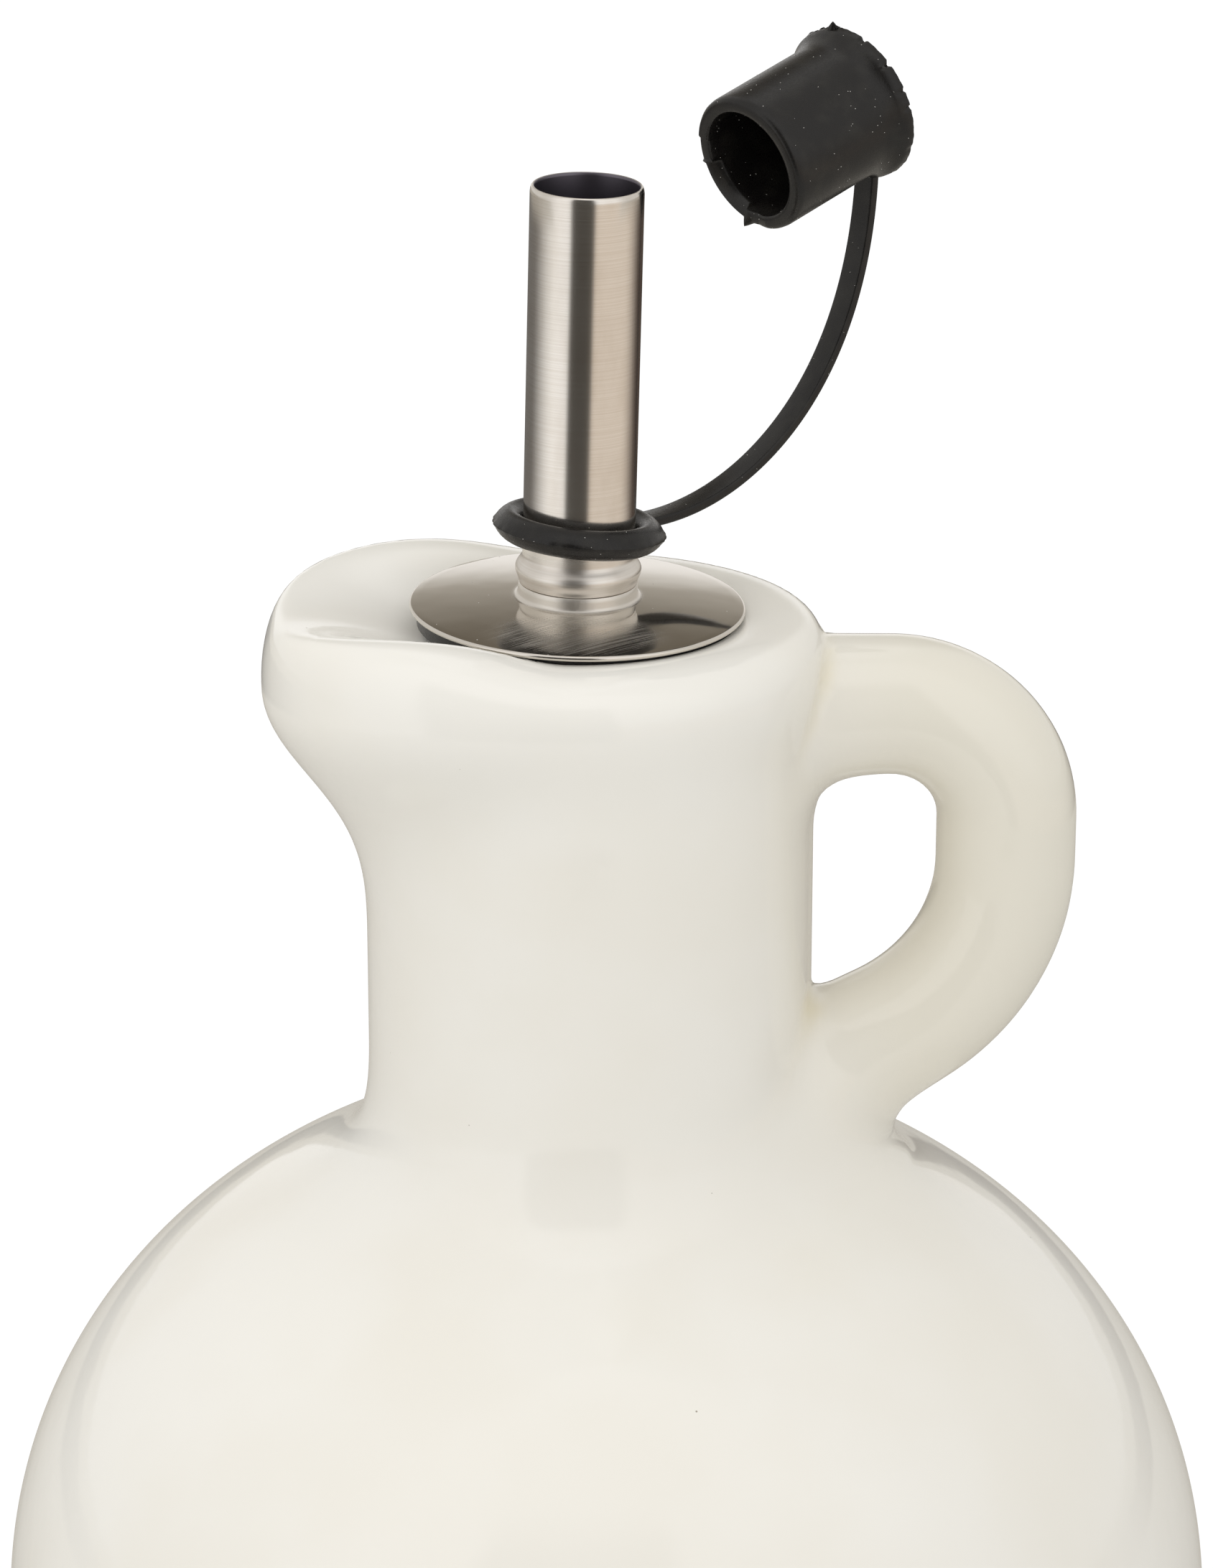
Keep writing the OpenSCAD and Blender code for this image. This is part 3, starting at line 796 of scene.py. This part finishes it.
def make_disc(material):
    """The domed disc with its rolled rim, drawn up to a collar around the tube."""
    half = DISC_SHEET / 2
    curve = 0.45
    rim = DISC_R - half
    steps = DISC_COLLAR_R + curve + (rim - DISC_COLLAR_R - curve) * np.linspace(0, 1, 20) ** 1.5
    under = [(float(r), float(dome_under(r))) for r in np.linspace(DISC_COLLAR_R, rim, 8)]
    edge = [(rim + half * math.sin(a), dome_under(rim) + half - half * math.cos(a))
            for a in np.linspace(0, math.pi, 9)[1:-1]]
    top = [(float(r), float(dome_under(r)) + DISC_SHEET) for r in steps[::-1]]
    foot_z = top[-1][1]
    drawn = [(steps[0] - curve * math.sin(a), foot_z + curve * (1 - math.cos(a)))
             for a in np.linspace(0, math.pi / 2, 8)[1:]]
    lip = DISC_COLLAR_R - 0.06
    collar = [(lip + 0.03, DISC_COLLAR_H - 0.5), (lip, DISC_COLLAR_H - 0.05), (lip - 0.05, DISC_COLLAR_H),
              (TUBE_R - 0.1, DISC_COLLAR_H), (TUBE_R - 0.1, dome_under(DISC_COLLAR_R))]
    rows = under + edge + top + drawn + collar
    piece = new_piece("domed_disc", *revolved(lambda a: rows, 180, loop=True), material, AT_MOUTH)
    fit_out(piece, "flange_disc", "pourer")
    return piece


def make_tube(material):
    """The tube with its raised bead, the crimped fold under it and a lip turned slightly in."""
    inner = TUBE_R - TUBE_WALL
    seam = DISC_COLLAR_H + 0.05
    fold_r, fold_z = DISC_COLLAR_R - 0.05, seam + 0.1
    rows = [(inner, -TUBE_END), (TUBE_R, -TUBE_END), (TUBE_R, seam)]
    rows += [(fold_r - 0.04, seam + 0.02), (fold_r, fold_z)]
    rows += [(fold_r + (BEAD_R - fold_r) * float(ease(t)), fold_z + (BEAD_H - fold_z) * t)
             for t in np.linspace(0, 1, 9)[1:]]
    rows += [(TUBE_R + (BEAD_R - TUBE_R) * float(ease(t)), BEAD_H + 1.4 * (1 - t))
             for t in np.linspace(1, 0, 10)[1:]]
    rows += [(TUBE_R, z) for z in np.linspace(BEAD_H + 2, TUBE_RISE - 0.6, 12)]
    rows += [(TUBE_R - 0.03, TUBE_RISE - 0.35), (TUBE_R - 0.1, TUBE_RISE - 0.12),
             (TUBE_R - 0.18, TUBE_RISE - 0.02), (TUBE_R - 0.26, TUBE_RISE),
             (TUBE_R - 0.34, TUBE_RISE - 0.05), (inner, TUBE_RISE - 0.3)]
    piece = new_piece("brushed_tube", *revolved(lambda a: rows, 144, loop=True), material, AT_MOUTH)
    fit_out(piece, "spout_tube", "pourer")


def make_stopper(material):
    """The stopper's core and flange, and its ribs as copies of one on a line down the core."""
    end = -FLANGE_UNDER - STOPPER_LENGTH
    bore = TUBE_R + 0.01
    gap = 0.02
    core = [(bore, end), (STOPPER_R - 1, end), (STOPPER_R, end + 1), (STOPPER_R, -FLANGE_UNDER),
            (STOPPER_FLANGE_R, -FLANGE_UNDER), (STOPPER_FLANGE_R, dome_under(STOPPER_FLANGE_R) - gap)]
    core += [(float(r), float(dome_under(r)) - gap)
             for r in np.linspace(STOPPER_FLANGE_R, bore + 0.4, 6)[1:]]
    core += [(bore, dome_under(DISC_COLLAR_R) - gap)]
    piece = new_piece("stopper_core", *revolved(lambda a: core, 96, loop=True), material, AT_MOUTH)
    fit_out(piece, "stopper", "pourer")
    rib = [(STOPPER_R - 0.3, 0.0), (RIB_R - 0.4, 0.5), (RIB_R - 0.1, 0.65), (RIB_R, 0.9),
           (RIB_R, 1.4), (RIB_R - 0.2, 1.6), (STOPPER_R - 0.3, RIB_H)]
    lowest = AT_MOUTH @ Matrix.Translation((0, 0, end + 0.5))
    ribs = new_piece("stopper_ribs", *revolved(lambda a: rib, 96, loop=True), None, lowest)
    pitch = (STOPPER_LENGTH - 1) / RIB_COUNT
    step = AT_MOUTH.to_3x3().col[2] * pitch * MM
    g = Growth("ribs", material, Count=RIB_COUNT, Step=step)
    line = g.add("GeometryNodeMeshLine", {"mode": "OFFSET"}, {"Count": g["Count"], "Offset": g["Step"]})
    copies = g.add("GeometryNodeInstanceOnPoints", {}, {"Points": line, "Instance": g["Geometry"]})
    g.make(ribs, copies)
    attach(ribs, "pourer")


# The tethered cap

# Nicks in the cap's flange, each as its angle in degrees, its depth and its half-width in degrees
NICKS = (
    (-118, 0.15, 4), (-83, 0.3, 2), (-70, 0.35, 2), (-48, 0.5, 3), (-22, 0.4, 2.5), (24, 0.3, 4),
    (52, 0.25, 5),
)


def rough(angle, *waves):
    """A fixed ragged value around a rim, between -1 and 1."""
    value = 1.0
    for count, shift in waves:
        value *= math.sin(count * angle + shift)
    return math.copysign(abs(value) ** 0.6, value)


def cap_section(angle):
    """The cap's outline at an angle, with its ragged flange and the tear in its mouth."""
    degrees = math.degrees(angle) % 360
    away = [(abs((degrees - at + 180) % 360 - 180), depth, wide) for at, depth, wide in NICKS]
    nick = max(depth * max(0, 1 - off / wide) for off, depth, wide in away)
    frayed = rough(angle, (41, 2.0), (13, 0.3)) * (0.1 if degrees < 75 else 0.03)
    edge = CAP_FLANGE_R - nick + frayed
    into = (degrees - TEAR_FROM) / (TEAR_TO - TEAR_FROM)
    torn = 0.0
    if 0 <= into <= 1:
        torn = min(1.0, into / 0.05, (1 - into) / 0.06) * (1 - 0.25 * into)
    worn = 0.22 if 76 <= degrees < TEAR_FROM else 0.0
    nib = max(0.0, 1 - abs(degrees - TEAR_TO - 2) / 5) * 0.55
    shred = max(0.0, 1 - abs(degrees - TEAR_TO - 14) / 12) * 0.5
    top = CAP_LENGTH - worn - shred * 0.5
    rows = [
        (0.0, 0.12), (3.0, 0.05), (CAP_FLANGE_R - 1.2, 0.0), (CAP_FLANGE_R - 0.5, 0.02),
        (edge - 0.2, 0.0), (edge, 0.08), (edge + 0.03, 0.3),
        (CAP_FLANGE_R - nick * 0.5, 0.6), (CAP_FLANGE_R - 0.05, 0.95),
    ]
    for t in np.linspace(0.12, 1, 8):
        rows.append((CAP_R + (CAP_FLANGE_R - 0.1 - CAP_R) * (1 - t) ** 2.2, CAP_FLANGE + 2.3 * t))
    rows += [(CAP_R, z) for z in (6.0, 8.5, 11.0, CAP_LENGTH - 1.6)]
    outer = CAP_R + nib * 0.35 - torn * 0.12
    round_r = 0.5
    rows += [
        (outer, top - 0.75 - torn * 0.1),
        (outer - round_r * 0.12 + nib * 0.3, top - 0.38 - torn * 0.12 + nib * 0.5),
        (outer - round_r * 0.45 + nib * 0.35, top - 0.12 - torn * 0.2 + nib * 0.75),
        (outer - round_r + nib * 0.1, top - torn * 0.42 + nib * 0.5),
        (CAP_BORE_R + 0.45 - torn * 0.1, top - torn * 0.8),
        (CAP_BORE_R + 0.12 - torn * 0.2, top - 0.03 - torn * 1.1),
        (CAP_BORE_R - torn * 0.15, top - 0.2 - torn * 1.3),
        (CAP_BORE_R, top - 2.2), (CAP_BORE_R, 6.0), (CAP_BORE_R, CAP_END + 0.5),
        (CAP_BORE_R - 0.5, CAP_END), (0.0, CAP_END),
    ]
    return rows


def make_cap(material):
    """The cap, with the torn stub of its moulding gate on the flange."""
    piece = new_piece("rubber_cap", *revolved(cap_section, 240), material, AT_CAP)
    fit_out(piece, "tethered_cap", "cap")

    def stub(angle):
        lump = 1 + 0.3 * rough(angle, (3, 0.5), (5, 1.3))
        return [(0.0, -0.8), (0.75 * lump, -0.6), (0.85 * lump, -0.1), (0.6 * lump, 0.25),
                (0.38 * lump, 0.5), (0.3 * lump, 0.62), (0.12, 0.95), (0.0, 1.0)]

    points, faces = revolved(stub, 18)
    leaning = [(x * 0.6, y * 0.7 - 0.3 * max(0, z), z * 0.7 + 0.1 * math.sin(5 * y)) for x, y, z in points]
    at_stub = (
        AT_CAP
        @ Matrix.Rotation(math.radians(7), 4, "Z")
        @ Matrix.Translation((CAP_FLANGE_R - 0.05, 0, 0.4))
        @ Matrix.Rotation(math.radians(88), 4, "Y")
    )
    scar = new_piece("gate_stub", leaning, faces, material, at_stub)
    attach(scar, "cap")
    return piece


def make_ring(material):
    """The ring that slips over the tube, full-sided with a thin parting line left by the mould."""
    half_w = (RING_R - CAP_BORE_R) / 2
    middle = CAP_BORE_R + half_w
    sides, outer_shape, inner_shape = 26, 1.5, 1.85

    def section(angle):
        rows = []
        for i in range(sides):
            a = 2 * math.pi * (i + 0.5) / sides
            c, s = math.cos(a), math.sin(a)
            power = 2 / (outer_shape if c > 0 else inner_shape)
            out = math.copysign(abs(c) ** power, c) * half_w
            up = math.copysign(abs(s) ** power, s) * RING_H / 2
            rows.append((middle + out, up))
        flash = 0.1 + 0.06 * rough(angle, (14, 0.2), (23, 1.0))
        rows[0] = (RING_R - 0.02 + flash, 0.07)
        rows[-1] = (RING_R - 0.02 + flash, -0.07)
        return rows

    piece = new_piece("rubber_ring", *revolved(section, 144, loop=True), material, AT_RING)
    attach(piece, "cap")
    return piece


def make_strap(material):
    """The strap follows a curve from the ring up to the cap, with bits of mould flash on one edge."""
    sag = (math.cos(RING_SAG), 0, -math.sin(RING_SAG))
    start = (sag[0] * (RING_R - STRAP_SINK), 0, RING_Z + sag[2] * (RING_R - STRAP_SINK))
    leave = tuple(p + STRAP_RUN * d for p, d in zip(start, sag))
    inside = CAP_FLANGE_R - STRAP_SINK
    end = (CAP_REACH + inside * math.sin(CAP_DIP), 0, CAP_RISE - inside * math.cos(CAP_DIP))
    reach = (end[0], 0, end[2] - STRAP_LIFT)
    side = AT_STRAP.to_3x3().col[1]
    inputs = {name: AT_STRAP @ Matrix.Translation(point).translation * MM
              for name, point in (("Start", start), ("Leave", leave), ("Reach", reach), ("End", end))}
    g = Growth(
        "strap", material, **inputs, Width=STRAP_W * MM, Thickness=STRAP_T * MM,
        Edge=side * (STRAP_W / 2 - 0.02) * MM, Nib=0.16 * MM, Seed=5, Places=90,
    )
    path = g.add("GeometryNodeCurvePrimitiveBezierSegment", {"mode": "POSITION"}, {
        "Resolution": 64, "Start": g["Start"], "Start Handle": g["Leave"],
        "End Handle": g["Reach"], "End": g["End"],
    })
    box = {"Width": g["Width"], "Height": g["Thickness"]}
    band = g.add("GeometryNodeCurvePrimitiveQuadrilateral", {"mode": "RECTANGLE"}, box)
    rounding = {"Curve": band, "Radius": 0.22 * MM, "Count": 3}
    soft = g.add("GeometryNodeFilletCurve", {"mode": "POLY"}, rounding)
    strap = g.add("GeometryNodeCurveToMesh", {}, {"Curve": path, "Profile Curve": soft, "Fill Caps": True})
    edge = g.add("GeometryNodeSetPosition", {}, {"Geometry": path, "Offset": g["Edge"]})
    points = g.add("GeometryNodeCurveToPoints", {"mode": "COUNT"}, {"Curve": edge, "Count": g["Places"]})
    chance = {"Probability": 0.12, "Seed": g["Seed"]}
    torn = g.add("FunctionNodeRandomValue", {"data_type": "BOOLEAN"}, chance, output=3)
    size = g.add("FunctionNodeRandomValue", {"data_type": "FLOAT_VECTOR"}, {
        0: (0.4, 0.3, 0.5), 1: (1.5, 1.1, 2.0), "Seed": g["Seed"]})
    nib = g.add("GeometryNodeMeshIcoSphere", {}, {"Radius": g["Nib"], "Subdivisions": 1})
    nibs = g.add("GeometryNodeInstanceOnPoints", {}, {
        "Points": points, "Selection": torn, "Instance": nib, "Scale": size})
    both = g.add("GeometryNodeJoinGeometry", {}, {"Geometry": [strap, nibs]})
    piece = g.make(new_piece("rubber_strap", [], [], None), both)
    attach(piece, "cap")
    return piece


def settle_dust(name, host, body, material, density, size, seed):
    """Specks of dust on a piece, with density in specks for each square millimetre."""
    piece = bpy.data.objects.new(name, host.data.copy())
    bpy.context.scene.collection.objects.link(piece)
    g = Growth(name, material, Density=density / MM**2, Size=size * MM, Seed=seed)
    points = g.add("GeometryNodeDistributePointsOnFaces", {}, {
        "Mesh": g["Geometry"], "Density": g["Density"], "Seed": g["Seed"]})
    speck = g.add("GeometryNodeMeshIcoSphere", {}, {"Radius": g["Size"], "Subdivisions": 1})
    shape = g.add("FunctionNodeRandomValue", {"data_type": "FLOAT_VECTOR"}, {
        0: (0.4, 0.4, 0.4), 1: (1.6, 1.2, 1.0), "Seed": g["Seed"]})
    specks = g.add("GeometryNodeInstanceOnPoints", {}, {"Points": points, "Instance": speck, "Scale": shape})
    g.make(piece, specks)
    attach(piece, body)


# The studio

# The picture's height and the lens's length in pixels, and the camera's place and tilt from the mouth
PICTURE_H = 2184
LENS_LENGTH = 7905
CAMERA_BACK = 480.0
CAMERA_UP = 160.0
LOOK_DOWN = 20.23

# What steel and glaze see of the tent and of the floor
WALL = (1.02, 1.0, 0.98, 1)
WARM_SIDE = (0.78, 0.69, 0.6, 1)
CORNER = (0.72, 0.7, 0.67, 1)
OPENING = (0.07, 0.064, 0.056, 1)
BEHIND_LOW = (0.5, 0.47, 0.42, 1)
BEHIND_HIGH = (0.17, 0.148, 0.118, 1)
FLOOR_FRONT = (0.66, 0.64, 0.6, 1)
FLOOR_BACK = (0.46, 0.43, 0.38, 1)
FAR_LEFT = (1.05, 1.03, 1.0, 1)
FAR_BACK_LEFT = (0.17, 0.16, 0.15, 1)
FAR_BACK_RIGHT = (0.08, 0.06, 0.05, 1)


def make_camera():
    """The camera stands before the mouth and looks down at it, as far off as a long lens needs."""
    data = bpy.data.cameras.new("camera")
    data.sensor_width = 36
    data.lens = data.sensor_width * LENS_LENGTH / PICTURE_H
    camera = bpy.data.objects.new("camera", data)
    camera.location = (0, -CAMERA_BACK * MM, (MOUTH_Z + CAMERA_UP) * MM)
    camera.rotation_euler = (math.radians(90 - LOOK_DOWN), 0, 0)
    bpy.context.scene.collection.objects.link(camera)
    bpy.context.scene.camera = camera


def make_world():
    """A white tent whose light is a little stronger from the front, the left and above. Steel and glaze
    see it dark where it opens at the front and above its back wall, dim in its corners, and duller and
    warmer low down on its right."""
    world = bpy.data.worlds.new("tent")
    bpy.context.scene.world = world
    world.use_nodes = True
    s = Shader(world.node_tree)
    x, y, z = s.axes(s.place("Generated"))
    turn = x.math("ARCTAN2", x, y * -1) * (180 / math.pi)
    rise = z.math("ARCSINE", z) * (180 / math.pi)
    opening = s.between(turn, -35, -27) * s.between(turn, 13, 21, 1, 0) * s.between(rise, 40, 60, 1, 0)
    back = s.between(abs(turn), 150, 166) * s.between(rise, 7, 17) * s.between(rise, 40, 60, 1, 0)
    low_right = s.between(x, 0.1, 0.28) * s.between(rise, -8, 8, 1, 0)
    corners = s.between(abs(turn), 55, 90) * s.between(abs(turn), 150, 168, 1, 0)
    walls = s.mixed(corners, s.mixed(low_right, WALL, WARM_SIDE), CORNER)
    behind = s.mixed(s.between(rise, 10, 30), BEHIND_LOW, BEHIND_HIGH)
    seen = s.mixed(opening, s.mixed(back, walls, behind), OPENING)
    even = x * -0.12 + y * -0.16 + z * 0.25 + 0.875
    rays = s.add("ShaderNodeLightPath", output="Is Camera Ray")
    colour = s.mixed(rays, s.mixed(rays.output("Is Glossy Ray"), even, seen), (1, 1, 1, 1))
    shine = s.add("ShaderNodeBackground", {}, {"Color": colour, "Strength": 1.0})
    s.add("ShaderNodeOutputWorld", {}, {"Surface": shine})


def make_floor():
    """A pale floor that is white to the camera except for the object's shadow. Steel and glaze see it
    dimmer towards the back, and the tube, which reflects a band further out, sees that nearly black."""
    material, s = new_material("pale_floor")
    x, y, _ = s.axes(s.place())
    turn = abs(x.math("ARCTAN2", x, y * -1) * (180 / math.pi))
    reach = (x * x + y * y) ** 0.5
    far = s.between(reach, 0.375, 0.4) * s.between(reach, 0.75, 0.95, 1, 0)
    near = s.mixed(s.between(turn, 60, 130), FLOOR_FRONT, FLOOR_BACK)
    left = s.mixed(s.between(turn, 58, 125), FAR_LEFT, FAR_BACK_LEFT)
    right = s.mixed(s.between(turn, 85, 138), WARM_SIDE, FAR_BACK_RIGHT)
    seen = s.mixed(far, near, s.mixed(x > 0, left, right))
    rays = s.add("ShaderNodeLightPath", output="Is Camera Ray")
    glossy = rays.output("Is Glossy Ray")
    colour = s.mixed(glossy, (1.12, 1.12, 1.12, 1), seen)
    paint = s.add("ShaderNodeBsdfDiffuse", {}, {"Color": (0.7, 0.7, 0.69, 1)})
    glow = s.add("ShaderNodeEmission", {}, {"Color": colour, "Strength": 1.0})
    mix = s.add("ShaderNodeMixShader", {}, {0: rays * 0.8 + glossy, 1: paint, 2: glow})
    s.add("ShaderNodeOutputMaterial", {}, {"Surface": mix})
    corners = [(-2500, -330, 0), (2500, -330, 0), (2500, 3000, 0), (-2500, 3000, 0)]
    new_piece("floor", corners, [(0, 1, 2, 3)], material)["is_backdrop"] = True


def write_sizes():
    boxes = {"cad": cad_box, "visual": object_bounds()}
    {name: [list(corner) for corner in box] for name, box in boxes.items()}


make_camera()
make_world()
make_floor()
bpy.context.scene.view_settings.view_transform = "Standard"

make_bottle()
polished, brushed, dust = polished_steel(), brushed_steel(), pale_dust()
cap_rubber = black_rubber("cap_rubber", rgb(20, 18, 17), rgb(31, 29, 26))
disc = make_disc(polished)
make_tube(brushed)
make_stopper(black_rubber("stopper_rubber", rgb(40, 39, 38), rgb(50, 48, 46)))
cap = make_cap(cap_rubber)
ring = make_ring(cap_rubber)
strap = make_strap(cap_rubber)
settle_dust("cap_dust", cap, "cap", dust, density=0.2, size=0.045, seed=3)
settle_dust("ring_dust", ring, "cap", dust, density=0.2, size=0.045, seed=11)
settle_dust("strap_dust", strap, "cap", dust, density=0.12, size=0.04, seed=7)
settle_dust("disc_dust", disc, "pourer", dust, density=0.03, size=0.05, seed=4)

write_sizes()
